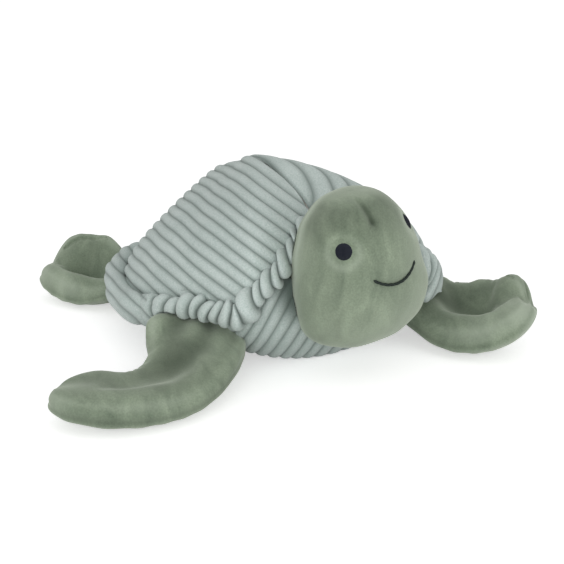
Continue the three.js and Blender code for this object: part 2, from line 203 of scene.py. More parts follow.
# Where along and across a flipper its form changes, and how it is mapped and blown out
SPREAD_SHARE = 0.5
SETTLE_SHARE = 0.08
HOLLOW_WIDTH = 0.45
SEWN_SHARE = 0.18
CURL_START = 0.1
CURL_FROM = 0.5
TIP_THIN = 0.42
TIP_SQUARE = 0.75
LEAST_CURL = 1e-6
BASE_MAPPED = 10.0
BLOW_FRAMES = 20
CLOTH = {
    "quality": 6,
    "mass": 0.2,
    "tension_stiffness": 18,
    "compression_stiffness": 18,
    "shear_stiffness": 6,
    "bending_stiffness": 0.4,
    "uniform_pressure_force": 4,
}

# How many points each piece is drawn with, down and across
SHELL_GRID = (340, 190)
BELLY_GRID = (300, 120)
RIM_GRID = (2000, 48)
HEAD_GRID = (220, 321)
EYE_GRID = (28, 145)
SMILE_GRID = (240, 15)
FLIPPER_GRID = (40, 22)

# How far apart the spots of each pattern lie
TUFT_SPACING = 0.8
FADE_SPACING = 16.7
PILE_SPACING = 1.0
BRUSH_SPACING = 14.3
FIBRE_SPACING = 8.3

# Sockets of a node that mixes two colours
MIX_SHARE = 0
MIX_FROM = 6
MIX_TO = 7
MIX_RESULT = 2

# Where the photograph's camera stands, which ways are right and up for it, and its lens
VIEW_PLACE = np.array([629.9, -397.1, 293.7])
VIEW_RIGHT = Vector((0.5299, 0.8480, 0.0))
VIEW_UP = Vector((-0.2831, 0.1769, 0.9426))
VIEW_LENS = 86.55
SENSOR_WIDTH = 36

# Light and floor, in metres and watts
WORLD_LIGHT = 0.6
FLOOR_LIFT = 0.5
FLOOR_HALF_WIDTH = 3.0
LAMP_AIM = Vector((0, 0, 0.04))
LAMPS = {
    "key": {"place": (1.05, -0.95, 0.42), "size": 1.0, "power": 8.0},
    "fill": {"place": (1.3, 0.7, 0.5), "size": 1.0, "power": 3.0},
}

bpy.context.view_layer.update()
chance = np.random.default_rng(7)


def put(name, data):
    """A new object in the scene."""
    thing = bpy.data.objects.new(name, data)
    bpy.context.collection.objects.link(thing)
    return thing


# Camera first: the photograph's view

def make_camera():
    camera_data = bpy.data.cameras.new("view")
    camera = put("view", camera_data)
    turn = Matrix((VIEW_RIGHT, VIEW_UP, VIEW_RIGHT.cross(VIEW_UP))).transposed().to_4x4()
    camera.matrix_world = Matrix.Translation(VIEW_PLACE * MM) @ turn
    camera_data.sensor_width = SENSOR_WIDTH
    camera_data.lens = VIEW_LENS
    bpy.context.scene.camera = camera


# Finishes

def linear(hex_colour):
    parts = [int(hex_colour[i:i + 2], 16) / 255 for i in (1, 3, 5)]
    return [c / 12.92 if c <= 0.04045 else ((c + 0.055) / 1.055) ** 2.4 for c in parts] + [1]


def add(tree, kind, settings=None, links=None):
    """One node: settings go to its own fields or sockets, links to its sockets."""
    node = tree.nodes.new(kind)
    for key, value in (settings or {}).items():
        if isinstance(key, str) and hasattr(node, key):
            setattr(node, key, value)
        else:
            node.inputs[key].default_value = value
    for key, source in (links or {}).items():
        tree.links.new(source, node.inputs[key])
    return node


def new_finish(name, settings):
    finish = bpy.data.materials.new(name)
    finish.use_nodes = True
    tree = finish.node_tree
    tree.nodes.clear()
    surface = add(tree, "ShaderNodeBsdfPrincipled", settings)
    add(tree, "ShaderNodeOutputMaterial", links={"Surface": surface.outputs["BSDF"]})
    return finish, tree, surface


def dress(tree, surface, colour, pattern, strength, depth):
    """Gives the surface its colour and lets the pattern stand out of it by the depth."""
    relief = add(tree, "ShaderNodeBump", {"Strength": strength, "Distance": depth * MM},
                 {"Height": pattern.outputs["Fac"]})
    tree.links.new(colour, surface.inputs["Base Color"])
    tree.links.new(relief.outputs["Normal"], surface.inputs["Normal"])


def corduroy():
    """Four-wale cotton corduroy, cut pile: matt, with soft round wales and grooves darkened by painted
    shade.
    """
    finish, tree, surface = new_finish("corduroy_cut_pile", {
        "Roughness": 0.95,
        "Specular IOR Level": 0.15,
        "Sheen Weight": 0.2,
        "Sheen Roughness": 0.5,
    })
    # The cloth map counts the wales, and a groove lies where the count is whole
    place = add(tree, "ShaderNodeUVMap", {"uv_map": "cloth"})
    count = add(tree, "ShaderNodeSeparateXYZ", links={0: place.outputs["UV"]})
    wale = add(tree, "ShaderNodeMath", {"operation": "FRACT"}, {0: count.outputs["X"]})
    centred = add(tree, "ShaderNodeMath", {"operation": "MULTIPLY_ADD", 1: 2.0, 2: -1.0},
                  {0: wale.outputs[0]})
    from_ridge = add(tree, "ShaderNodeMath", {"operation": "ABSOLUTE"}, {0: centred.outputs[0]})
    groove = add(tree, "ShaderNodeMath", {"operation": "POWER", 1: GROOVE_SHARPNESS},
                 {0: from_ridge.outputs[0]})
    spot = add(tree, "ShaderNodeTexCoord").outputs["Object"]
    # Tufts of pile, and cloth that is a little paler every centimetre or two
    tufts = add(tree, "ShaderNodeTexNoise", {"Scale": 1 / (TUFT_SPACING * MM), "Detail": 3.0},
                {"Vector": spot})
    fade = add(tree, "ShaderNodeTexNoise", {"Scale": 1 / (FADE_SPACING * MM), "Detail": 2.0},
               {"Vector": spot})
    ridge = add(tree, "ShaderNodeMix",
                {"data_type": "RGBA", MIX_FROM: linear("#b3c0bb"), MIX_TO: linear("#cad5d1")},
                {MIX_SHARE: fade.outputs["Fac"]})
    tufted = add(tree, "ShaderNodeMix", {"data_type": "RGBA", "blend_type": "OVERLAY", MIX_SHARE: 0.45},
                 {MIX_FROM: ridge.outputs[MIX_RESULT], MIX_TO: tufts.outputs["Fac"]})
    # Painted shade: the colour is mixed darker in each groove
    shade = add(tree, "ShaderNodeMix", {"data_type": "RGBA", MIX_TO: linear("#85918c")},
                {MIX_SHARE: groove.outputs[0], MIX_FROM: tufted.outputs[MIX_RESULT]})
    with_nap_and_painted_light = add_nap_and_painted_light(tree, shade.outputs[MIX_RESULT], "#56625c", "#cbd5d1")
    dress(tree, surface, with_nap_and_painted_light, tufts, strength=0.6, depth=0.5)
    return finish


def velour():
    """Knitted polyester velour, brushed: soft, with painted sheen that turns it paler at grazing angles,
    and brush marks.
    """
    finish, tree, surface = new_finish("velour_brushed", {
        "Roughness": 0.9,
        "Specular IOR Level": 0.2,
        "Sheen Weight": 0.5,
        "Sheen Roughness": 0.35,
        "Sheen Tint": linear("#dfe6da"),
    })
    spot = add(tree, "ShaderNodeTexCoord").outputs["Object"]
    # Pile 0.6 mm apart, drawn coarser so that it shows, and brush marks, longer than they are wide
    pile_look = {"Scale": 1 / (PILE_SPACING * MM), "Detail": 4.0, "Roughness": 0.6}
    pile = add(tree, "ShaderNodeTexNoise", pile_look, {"Vector": spot})
    brushed = add(tree, "ShaderNodeMapping", {"Scale": (1.0, 1.6, 0.55), "Rotation": (0.3, 0.5, 0.2)},
                  {"Vector": spot})
    mark_look = {"Scale": 1 / (BRUSH_SPACING * MM), "Detail": 4.0, "Distortion": 0.8}
    marks = add(tree, "ShaderNodeTexNoise", mark_look, {"Vector": brushed.outputs["Vector"]})
    contrast = add(tree, "ShaderNodeMapRange", {"From Min": 0.3, "From Max": 0.7},
                   {"Value": marks.outputs["Fac"]})
    soft = add(tree, "ShaderNodeMix",
               {"data_type": "RGBA", MIX_FROM: linear("#6b7866"), MIX_TO: linear("#8a9782")},
               {MIX_SHARE: contrast.outputs[0]})
    flecked = add(tree, "ShaderNodeMix", {"data_type": "RGBA", "blend_type": "OVERLAY", MIX_SHARE: 0.4},
                  {MIX_FROM: soft.outputs[MIX_RESULT], MIX_TO: pile.outputs["Fac"]})
    # Painted sheen: the colour is mixed paler where the surface is seen at a grazing angle
    turned = add(tree, "ShaderNodeLayerWeight", {"Blend": 0.25})
    pale = add(tree, "ShaderNodeMix", {"data_type": "RGBA", MIX_TO: linear("#b4bfac")},
               {MIX_SHARE: turned.outputs["Facing"], MIX_FROM: flecked.outputs[MIX_RESULT]})
    with_nap_and_painted_light = add_nap_and_painted_light(tree, pale.outputs[MIX_RESULT], "#3b4538", "#b9c4b2")
    dress(tree, surface, with_nap_and_painted_light, pile, strength=0.45, depth=0.5)
    return finish


def add_nap_and_painted_light(tree, colour, dark, pale):
    """The piece's own nap and painted light: below zero the colour turns darker, for pressed pile and
    painted shade; above zero paler, for raised pile and painted light.
    """
    nap_and_painted_light = add(tree, "ShaderNodeAttribute", {"attribute_name": "nap_and_painted_light"})
    for end, shade in ((-1.0, dark), (1.0, pale)):
        share = add(tree, "ShaderNodeMapRange", {"From Min": 0.0, "From Max": end},
                    {"Value": nap_and_painted_light.outputs["Fac"]})
        mixed = add(tree, "ShaderNodeMix", {"data_type": "RGBA", MIX_TO: linear(shade)},
                    {MIX_SHARE: share.outputs[0], MIX_FROM: colour})
        colour = mixed.outputs[MIX_RESULT]
    return colour


def embroidery_thread(name, hex_colour, hex_painted_gloss, spacing):
    """Trilobal rayon embroidery thread, laid side by side: dark, with a fine striped gloss, partly its own
    shine and partly painted into the colour of each thread.
    """
    finish, tree, surface = new_finish(name, {
        "Roughness": 0.55,
        "Specular IOR Level": 0.3,
        "Anisotropic": 0.4,
    })
    spot = add(tree, "ShaderNodeTexCoord").outputs["Object"]
    # At a scale of 1 the bands of a wave texture lie 0.314 apart
    wave = {"bands_direction": "Z", "Scale": 0.314 / spacing, "Distortion": 1.0, "Detail": 1.0}
    threads = add(tree, "ShaderNodeTexWave", wave, {"Vector": spot})
    # Painted gloss: a paler stripe along each thread
    colour = add(tree, "ShaderNodeMix",
                 {"data_type": "RGBA", MIX_FROM: linear(hex_colour), MIX_TO: linear(hex_painted_gloss)},
                 {MIX_SHARE: threads.outputs["Fac"]})
    dress(tree, surface, colour.outputs[MIX_RESULT], threads, strength=0.6, depth=0.2)
    return finish


def fibrefill():
    """Siliconised polyester fibrefill, carded: white, matt and cloudy."""
    finish, tree, surface = new_finish("fibrefill_carded", {"Roughness": 1.0, "Specular IOR Level": 0.1})
    spot = add(tree, "ShaderNodeTexCoord").outputs["Object"]
    clouds = add(tree, "ShaderNodeTexNoise", {"Scale": 1 / (FIBRE_SPACING * MM), "Detail": 6.0},
                 {"Vector": spot})
    colour = add(tree, "ShaderNodeMix",
                 {"data_type": "RGBA", MIX_FROM: linear("#dcdad2"), MIX_TO: linear("#f4f2ec")},
                 {MIX_SHARE: clouds.outputs["Fac"]})
    dress(tree, surface, colour.outputs[MIX_RESULT], clouds, strength=0.8, depth=1.0)
    return finish


# Curves and grids

def smooth(x, start, end):
    t = np.clip((x - start) / (end - start), 0, 1)
    return t * t * (3 - 2 * t)


def lerp(a, b, share):
    return a + (b - a) * share


def rotate(first, second, angle):
    """Two coordinates turned about zero, the first towards the second."""
    cosine, sine = np.cos(angle), np.sin(angle)
    return cosine * first - sine * second, sine * first + cosine * second


def shares(grid):
    """Shares from 0 to 1 down and across a grid of so many points."""
    rows, columns = grid
    return np.linspace(0, 1, rows)[:, None], np.linspace(0, 1, columns)[None, :]


def hump(x, centre, width):
    """1 at the centre, fading to nothing at about two widths to either side."""
    return np.exp(-(((x - centre) / width) ** 2))


def unit(vectors):
    return vectors / np.linalg.norm(vectors, axis=-1, keepdims=True)


class SoftCurve:
    """A smooth curve through a few points, with its bends spaced by the distance between them."""

    def __init__(self, points, closed=False):
        self.points = np.array(points, float)
        self.closed = closed

    def at(self, share):
        share = np.asarray(share, float)
        count = len(self.points)
        place = share * (count if self.closed else count - 1)
        first = np.floor(place).astype(int)
        if not self.closed:
            first = np.clip(first, 0, count - 2)
        rest = (place - first)[..., None]
        before, here, there, after = (self.corner(first + k) for k in (-1, 0, 1, 2))
        gaps = [((b - a) ** 2).sum(-1, keepdims=True) ** 0.25
                for a, b in ((before, here), (here, there), (there, after))]
        g0, g1, g2 = gaps
        leave = ((here - before) / g0 - (there - before) / (g0 + g1) + (there - here) / g1) * g1
        arrive = ((there - here) / g1 - (after - here) / (g1 + g2) + (after - there) / g2) * g1
        square = -3 * here + 3 * there - 2 * leave - arrive
        cube = 2 * here - 2 * there + leave + arrive
        return here + leave * rest + square * rest ** 2 + cube * rest ** 3

    def corner(self, index):
        count = len(self.points)
        if self.closed:
            return self.points[index % count]
        inner = self.points[np.clip(index, 0, count - 1)]
        low = 2 * self.points[0] - self.points[1]
        high = 2 * self.points[-1] - self.points[-2]
        inner = np.where((index < 0)[..., None], low, inner)
        return np.where((index > count - 1)[..., None], high, inner)


def outward(points, middle):
    """Normals of a grid of points, all pointing away from the middle."""
    normal = np.cross(np.gradient(points, axis=0), np.gradient(points, axis=1))
    normal /= np.maximum(np.linalg.norm(normal, axis=-1, keepdims=True), 1e-9)
    facing_out = ((points - middle) * normal).sum() > 0
    return normal if facing_out else -normal


def distance_along(points, axis):
    step = np.linalg.norm(np.diff(points, axis=axis), axis=-1)
    start = np.zeros_like(np.take(step, [0], axis=axis))
    return np.concatenate([start, np.cumsum(step, axis=axis)], axis=axis)


def cloth_mesh(name, grids, finish, uvs, flips, wrap=False):
    """A mesh of one or more grids of points, merged where they meet."""
    corners, faces, places = [], [], []
    for grid, uv, flip in zip(grids, uvs, flips):
        rows, columns = grid.shape[:2]
        start = sum(len(c) for c in corners)
        corners.append(grid.reshape(-1, 3) * MM)
        number = start + np.arange(rows * columns).reshape(rows, columns)
        if wrap:
            number = np.concatenate([number, number[:, :1]], axis=1)
        quads = np.stack([number[:-1, :-1], number[:-1, 1:], number[1:, 1:], number[1:, :-1]], -1)
        quads = quads.reshape(-1, 4)
        faces.append(quads[:, ::-1] if flip else quads)
        places.append(uv.reshape(-1, 2))
    mesh = bpy.data.meshes.new(name)
    corners = np.concatenate(corners)
    faces = np.concatenate(faces)
    mesh.from_pydata(corners.tolist(), [], faces.tolist())
    layer = mesh.uv_layers.new(name="cloth")
    flat = np.concatenate(places)[faces.reshape(-1)]
    layer.data.foreach_set("uv", flat.astype(np.float32).reshape(-1))
    mesh.shade_smooth()
    mesh.materials.append(finish)
    piece = put(name, mesh)
    join_edges(mesh)
    return piece


def cloth_piece(name, grids, finish, body, replaced, uvs=None, flips=None, wrap=False, nap_and_painted_light=None):
    if uvs is None:
        uvs = [np.zeros(grid.shape[:2] + (2,)) for grid in grids]
    piece = cloth_mesh(name, grids, finish, uvs, flips or [False] * len(grids), wrap)
    if nap_and_painted_light is not None:
        shades = np.concatenate([shade.reshape(-1) for shade in nap_and_painted_light])
        spots = np.concatenate([grid.reshape(-1, 3) for grid in grids]) * MM
        set_nap_and_painted_light(piece.data, nearest_values(spots, shades, read_points(piece.data)))
    attach(piece, body, replaced)
    return piece


def attach(piece, body, replaced):
    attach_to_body(piece, body)
    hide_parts(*replaced)


def read_points(mesh, field="co"):
    flat = np.empty(len(mesh.vertices) * 3)
    mesh.vertices.foreach_get(field, flat)
    return flat.reshape(-1, 3)


def write_points(mesh, points):
    mesh.vertices.foreach_set("co", points.reshape(-1))
    mesh.update()


def set_nap_and_painted_light(mesh, values):
    layer = mesh.attributes.new("nap_and_painted_light", "FLOAT", "POINT")
    layer.data.foreach_set("value", np.clip(values, -1, 1).astype(np.float32))


def nearest_values(spots, values, wanted):
    """For each wanted spot, the value at the nearest of the given spots."""
    tree = KDTree(len(spots))
    for index, spot in enumerate(spots):
        tree.insert(spot, index)
    tree.balance()
    return np.array([values[tree.find(spot)[1]] for spot in wanted])


def push_clear(piece, node, gap=0.6 * MM, reach=12 * MM):
    """Cloth stands off the stuffing under it: points nearer than the gap move out."""
    points = read_points(piece.data)
    tree = BVHTree.FromObject(frame["nodes"][node], bpy.context.evaluated_depsgraph_get())
    for index, point in enumerate(points):
        near, normal, _, _ = tree.find_nearest(Vector(point), reach)
        if near is None:
            continue
        height = (Vector(point) - near).dot(normal)
        if height < gap:
            points[index] += np.array(normal) * (gap - height)
    write_points(piece.data, points)


def leave_room(piece, moved, gap=1 * MM, depth=7 * MM, near=45 * MM):
    """The piece gives way to flippers that flap: points just inside one move out of it."""
    points = read_points(piece.data)
    for joint in frame["joints"]:
        mover = moved.get(joint["child"])
        if mover is None:
            continue
        tree = BVHTree.FromObject(mover, bpy.context.evaluated_depsgraph_get())
        pivot, axis = Vector(joint["pos_m"]), Vector(joint["axis"])
        beside = np.flatnonzero(np.linalg.norm(points - joint["pos_m"], axis=1) < near)
        lowest, highest = joint["range_deg"]
        for degrees in (highest / 2, highest, lowest):
            angle = math.radians(degrees)
            flap = Matrix.Translation(pivot) @ Matrix.Rotation(angle, 4, axis) @ Matrix.Translation(-pivot)
            back = flap.inverted()
            for index in beside:
                spot = back @ Vector(points[index])
                hit, normal, _, _ = tree.find_nearest(spot, depth)
                if hit is None:
                    continue
                height = (spot - hit).dot(normal)
                if -depth < height < gap:
                    points[index] = flap @ (spot + normal * (gap - height))
    write_points(piece.data, points)


def face_outward(mesh):
    work = bmesh.new()
    work.from_mesh(mesh)
    bmesh.ops.recalc_face_normals(work, faces=work.faces)
    work.to_mesh(mesh)
    work.free()


def join_edges(mesh, gap=0.02 * MM):
    work = bmesh.new()
    work.from_mesh(mesh)
    bmesh.ops.remove_doubles(work, verts=work.verts, dist=gap)
    bmesh.ops.dissolve_degenerate(work, edges=work.edges, dist=gap / 2)
    work.to_mesh(mesh)
    work.free()


# Torso: the sewn edge, the spine over it and the keel under it. Shares run [forward, side, height].
EDGE = [
    [0.55, 0, 1],
    [0.84, 0.39, 0.7],
    [0.96, 0.66, 0.43],
    [0.93, 0.74, 0.3],
    [0.53, 0.86, 0.27],
    [0.24, 0.93, 0.2],
    [-0.18, 1, 0.02],
    [-0.58, 0.89, 0],
    [-0.9, 0.55, 0],
    [-1, 0, 0.05],
]
SPINE_FRONT = [[0.55, 0], [0.17, 0.49]]
SPINE_BACK = [[-0.34, 0.98], [-0.52, 0.88], [-0.8, 0.7], [-0.95, 0.31], [-1, 0]]
KEEL_FRONT = [[0.55, 1], [0.98, 0.7], [1.1, 0.3]]
KEEL_BACK = [[0.85, 0.02], [0.25, 0], [-0.4, 0], [-0.85, 0.06], [-1, 0.38]]
CORE = np.array([(SHELL_FRONT - SHELL_BACK) / 2, 0, SHELL_HEIGHT / 2])


def along_shell(share):
    return share * (SHELL_FRONT if share > 0 else SHELL_BACK)


def edge_height(share):
    return lerp(SHELL_EDGE_HEIGHT, NECK_ARCH_HEIGHT, share)


EDGE_TAIL = edge_height(EDGE[-1][2])


def edge_curve():
    left = [[along_shell(f), s * SHELL_HALF_WIDTH, edge_height(h)] for f, s, h in EDGE]
    right = [[x, -y, z] for x, y, z in left[1:-1][::-1]]
    return SoftCurve(left + right, closed=True)


def spine_curve():
    front = [[along_shell(f), 0, lerp(NECK_ARCH_HEIGHT, SHELL_HEIGHT, h)] for f, h in SPINE_FRONT]
    back = [[along_shell(f), 0, lerp(EDGE_TAIL, SHELL_HEIGHT, h)] for f, h in SPINE_BACK]
    return SoftCurve(front + back)


def keel_curve():
    front = [[along_shell(f), 0, h * NECK_ARCH_HEIGHT] for f, h in KEEL_FRONT]
    tail = EDGE_TAIL / KEEL_BACK[-1][1]
    back = [[along_shell(f), 0, h * tail] for f, h in KEEL_BACK]
    return SoftCurve(front + back)


edge = edge_curve()
spine = spine_curve()
keel = keel_curve()


def dome(along, across, side):
    rim = edge.at(along / 2)
    ridge = spine.at(along)
    turn = across * math.pi / 2
    out = np.sin(turn) ** DOME_FULLNESS
    down = 1 - np.cos(turn)
    x = lerp(ridge[..., 0], rim[..., 0], out)
    y = side * rim[..., 1] * out
    z = lerp(ridge[..., 2], rim[..., 2], down)
    return np.stack([x, y, z], -1)


def belly(along, across, side):
    rim = edge.at(along / 2)
    base = keel.at(along)
    turn = across * math.pi / 2
    up = 1 - np.cos(turn)
    x = lerp(base[..., 0], rim[..., 0], up)
    y = side * rim[..., 1] * np.sin(turn)
    z = lerp(base[..., 2], rim[..., 2], up)
    return np.stack([x, y, np.maximum(z, 0)], -1)


def wale_profile(wale):
    """Height of the pile across the wales: round on top, with a narrow groove between two."""
    return 1 - np.abs(2 * np.mod(wale, 1) - 1) ** WALE_SHARPNESS


def turn_about_neck(points, angle):
    x, y, z = np.moveaxis(points - NECK, -1, 0)
    z, x = rotate(z, x, angle)
    return np.stack([x, y, z], -1) + NECK


def head_girth(level):
    """How wide the head is, from -1 at the chin to 1 at the crown, as a share of its full width."""
    round_off = np.maximum(1 - np.abs(level) ** HEAD_SQUARENESS, 0) ** (1 / HEAD_SQUARENESS)
    return round_off * (1 - HEAD_TAPER * level)


def head_spans(points, gap):
    """Where the line along x through each point runs inside the head: its middle and half its length."""
    upright = roll_head(points, -HEAD_ROLL)
    y, z = upright[..., 1], upright[..., 2] - HEAD_MIDDLE
    level = np.clip(z / (HEAD_HEIGHT / 2 + gap), -1, 1)
    inside = head_girth(level) ** 2 - (y / (HEAD_HALF_WIDTH + gap)) ** 2
    return HEAD_FORWARD + HEAD_LEAN * level, (HEAD_HALF_LENGTH + gap) * np.sqrt(np.maximum(inside, 0))


def press_behind_head(points, gap=0.5):
    """Cloth behind the head leaves room for it at every nod: points inside move back to its surface."""
    pressed = points.copy()
    for nod in (NOD_UP, 0.0, NOD_DOWN):
        turned = turn_about_neck(pressed, -nod)
        turned[..., 0] = press_back(turned[..., 0], *head_spans(turned, gap))
        pressed = turn_about_neck(turned, nod)
    in_neck = (NECK_RADIUS + gap) ** 2 - ((pressed - NECK)[..., 1:] ** 2).sum(-1)
    pressed[..., 0] = press_back(pressed[..., 0], NECK[0], np.sqrt(np.maximum(in_neck, 0)))
    return pressed


def press_back(x, middle, reach):
    return np.where(np.abs(x - middle) < reach, middle - reach, x)


def painted_shade_beside_head(points, reach):
    """How much painted shade falls on cloth beside the head: 1 where it touches the head, fading to 0 at
    the reach; it lies deep between rim and head.
    """
    level = np.clip((points[..., 2] - HEAD_MIDDLE) / (HEAD_HEIGHT / 2), -0.95, 0.95)
    girth = head_girth(level)
    ahead = (points[..., 0] - HEAD_FORWARD - HEAD_LEAN * level) / HEAD_HALF_LENGTH
    aside = (points[..., 1] + math.sin(HEAD_ROLL) * (points[..., 2] - HEAD_MIDDLE)) / HEAD_HALF_WIDTH
    away = (np.hypot(ahead, aside) - girth) * HEAD_HALF_WIDTH
    return (1 - smooth(away, 2, reach)) * smooth(points[..., 2], 24, 42)


def shell_wale(points, side):
    """Which wale a spot lies on; the cloth is cut by hand, so the wales drift a little."""
    x, y, z = points[..., 0], side * points[..., 1], points[..., 2]
    drift = 0.5 * np.sin(x / 23.0) + 0.35 * np.sin(z / 11.0 + side) + 0.25 * np.sin(x / 7.0 + z / 5.0)
    level = x * WALE_SLOPE[0] - y * WALE_SLOPE[1] + z * WALE_SLOPE[2]
    return (level + drift) / WALE_PITCH


def panel_grid(grid):
    """Shares along a panel and out from its middle; its ends stop just short of the other panels."""
    along, across = shares(grid)
    return np.broadcast_arrays(lerp(PANEL_END, 1 - PANEL_END, along), across)


def shell_cloth(side, finish):
    """One half of the shell, sewn to the other along the spine and to the rim round its edge."""
    points = dome(*panel_grid(SHELL_GRID), side)
    points[..., 1] += side * SPINE_GAP / 2
    normal = outward(points, CORE)
    wale = shell_wale(points, side)
    # The wales lie flat and the cloth draws in at the spine seam and at the sewn edge
    from_spine = distance_along(points, 1)
    from_edge = from_spine[:, -1:] - from_spine
    sewn = hump(from_spine, 0, 1.6) + hump(from_edge, 0, 3.0)
    height = WALE_HEIGHT * (wale_profile(wale) * (1 - 0.6 * np.clip(sewn, 0, 1)) - 0.4) - 0.9 * sewn
    points = press_behind_head(points + normal * height[..., None])
    uv = np.stack([wale, distance_along(points, 0) / WALE_PITCH], -1)
    # Painted shade darkens the cloth where it draws in at the spine seam and the sewn edge
    nap_and_painted_light = -0.3 * np.clip(sewn, 0, 1)
    hand = "left" if side > 0 else "right"
    piece = cloth_piece(f"shell_cloth_{hand}", [points], finish, "torso", [f"shell_panel_{hand}"],
                        [uv], [side < 0], nap_and_painted_light=[nap_and_painted_light])
    push_clear(piece, "torso_filling")
    return piece


def belly_cloth(finish):
    """The underside, in one piece from the tail up to the neck."""
    grids, uvs, flips, painted_shades = [], [], [], []
    along, across = panel_grid(BELLY_GRID)
    for side in (1, -1):
        points = belly(along, across, side)
        normal = outward(points, CORE)
        wale = points @ BELLY_SLOPE / WALE_PITCH + 0.06 * np.sin(points[..., 1] / 6.0)
        # The wales are pressed flat where they rest on the floor
        off_floor = smooth(points[..., 2], 0.2, 3.0)
        height = WALE_HEIGHT * (wale_profile(wale) - 1) * (0.35 + 0.65 * off_floor)
        points = points + normal * height[..., None]
        points[..., 2] = np.maximum(points[..., 2], FLOOR_GAP)
        grids.append(press_behind_head(points))
        # Painted shade: a little over the whole belly, and deep on the cloth in the recess beside the head
        painted_shades.append(-0.22 - 0.78 * painted_shade_beside_head(points, 17.0))
        uvs.append(np.stack([wale, distance_along(points, 0) / WALE_PITCH], -1))
        flips.append(side > 0)
    piece = cloth_piece("belly_cloth", grids, finish, "torso", ["belly_panel"], uvs, flips,
                        nap_and_painted_light=painted_shades)
    return piece


# Gathered rim

def rim_seam():
    """Even steps along the sewn edge: each one's spot, the ways out of it and up, and its distance."""
    steps = RIM_GRID[0]
    fine_share = np.linspace(0, 1, 2 * steps + 1)
    fine = edge.at(fine_share)
    run = np.concatenate([[0], np.cumsum(np.linalg.norm(np.diff(fine, axis=0), axis=1))])
    place = np.arange(steps) / steps * run[-1]
    seam = edge.at(np.interp(place, run, fine_share))
    tangent = unit(np.roll(seam, -1, axis=0) - np.roll(seam, 1, axis=0))
    out = unit(seam - CORE)
    tall = unit(np.cross(out, tangent))
    tall *= np.sign(tall[:, 2:])
    return seam, out, tall, place, run[-1]


def pleat_layout(place, length, neck, side, turn):
    """Pleats of uneven width, each pinched where its gathering stitch pulls.

    For every spot of the roll: which pleat it is on, how far across it, and how plump and high that is.
    """
    pleats = round(length / PLEAT_PITCH)
    widths = 1 + 0.4 * chance.uniform(-1, 1, pleats)
    pinches = np.concatenate([[0], np.cumsum(widths)]) / widths.sum() * length
    plump = chance.uniform(-1, 1, pleats)
    shift = chance.uniform(-1, 1, pleats)
    lean = np.interp(place, pinches[:-1], chance.uniform(0.5, 3.0, pleats))[:, None]
    lean = lerp(lean, TWIST, neck) * side
    spot = np.mod(place[:, None] + lean * np.sin(turn - 0.6), length)
    index = np.clip(np.searchsorted(pinches, spot, side="right") - 1, 0, pleats - 1)
    fraction = (spot - pinches[index]) / (pinches[index + 1] - pinches[index])
    return index, fraction, plump[index], shift[index]


def rim_roll(finish, flippers):
    """Corduroy gathered onto a thread: plump uneven pleats at the sides, a broad flat band at the tail."""
    seam, out, tall, place, length = rim_seam()
    turn = 2 * math.pi * np.arange(RIM_GRID[1]) / RIM_GRID[1]
    side = np.where(seam[:, 1:2] < -0.001, -1, 1)
    # How tightly the rim is gathered: least round the tail and at the far corner beside the head
    corner = hump(seam[:, :1], 54, 12) * hump(seam[:, 2:], 42, 9)
    far_corner = corner * (side > 0)
    gather = smooth(seam[:, :1], -14, 20) * (1 - 0.85 * far_corner)
    # Up the neck it is twisted like a rope
    neck = smooth(seam[:, 2:], 40, 56)
    index, fraction, plump, shift = pleat_layout(place, length, neck, side, turn)
    bead = 1 - np.abs(2 * fraction - 1) ** 2.4
    round_turn = out[:, None] * np.cos(turn)[:, None] + tall[:, None] * np.sin(turn)[:, None]
    outside = seam[:, None] + out[:, None] * RIM_REACH / 2 + round_turn * RIM_DEPTH / 2
    wale = np.where(side > 0, shell_wale(outside, 1), shell_wale(outside, -1))
    # How deep the cloth lies below the full roll: between pleats at the sides, in grooves at the tail
    deep = gather * (PLEAT_DEPTH * (1 - bead) - (1.2 * plump + 0.3) * bead)
    deep = deep + (1 - gather) * 1.1 * (1 - wale_profile(wale))
    # Creases where the band round the tail is folded over its stuffing
    crease = np.sin(place / 6.0) * np.sin(place / 17.0 + 1)
    deep = deep - (1 - gather) * (0.9 * crease[:, None] * np.cos(turn - 0.8))
    # A fold of the cloth stands up beside the neck, along the seam to the shell
    fold = neck * hump(turn, 2.5, 0.22)[None, :]
    deep = deep - 1.1 * fold * (1 - 0.6 * hump(fraction, 0.5, 0.2))
    # The band is broader behind the head, and the far corner is deeper and sags
    broad = (1 - gather) * (seam[:, :1] < 40)
    half_reach = RIM_REACH / 2 * (1 + 0.5 * broad - 0.15 * neck)
    half_depth = RIM_DEPTH / 2 * (0.86 + 0.5 * broad - 0.08 * neck + 0.15 * corner + 0.75 * far_corner)
    middle = seam - tall * CORNER_SAG * far_corner + out * (RIM_REACH / 2 + 0.2)
    in_out = (half_reach - deep) * np.cos(turn)
    up_down = (half_depth - deep) * np.sin(turn) + 1.5 * gather * shift * bead
    points = middle[:, None] + out[:, None] * in_out[..., None] + tall[:, None] * up_down[..., None]
    points = press_behind_head(points)
    # Where the rim is gathered the map counts pleats, so the corduroy's groove colour paints shade into
    # each pinch between them
    label = np.where(gather > 0.4, index + fraction, wale)
    uv = np.stack([label, np.broadcast_to(turn * RIM_DEPTH / 2 / WALE_PITCH, label.shape)], -1)
    # Painted shade in the pinches and on the lower side of each pleat, painted light on its upper side and
    # along the fold beside the neck
    nap_and_painted_light = -0.8 * gather * np.abs(2 * fraction - 1) ** 6 + 0.7 * fold + 0.25 * gather * bead * np.sin(turn)
    points, uv, nap_and_painted_light = [np.concatenate([values, values[:1]]) for values in (points, uv, nap_and_painted_light)]
    piece = cloth_piece("rim_roll", [points], finish, "torso", ["shell_rim"], [uv],
                        wrap=True, nap_and_painted_light=[nap_and_painted_light])
    face_outward(piece.data)
    leave_room(piece, flippers)
    return piece


# Head

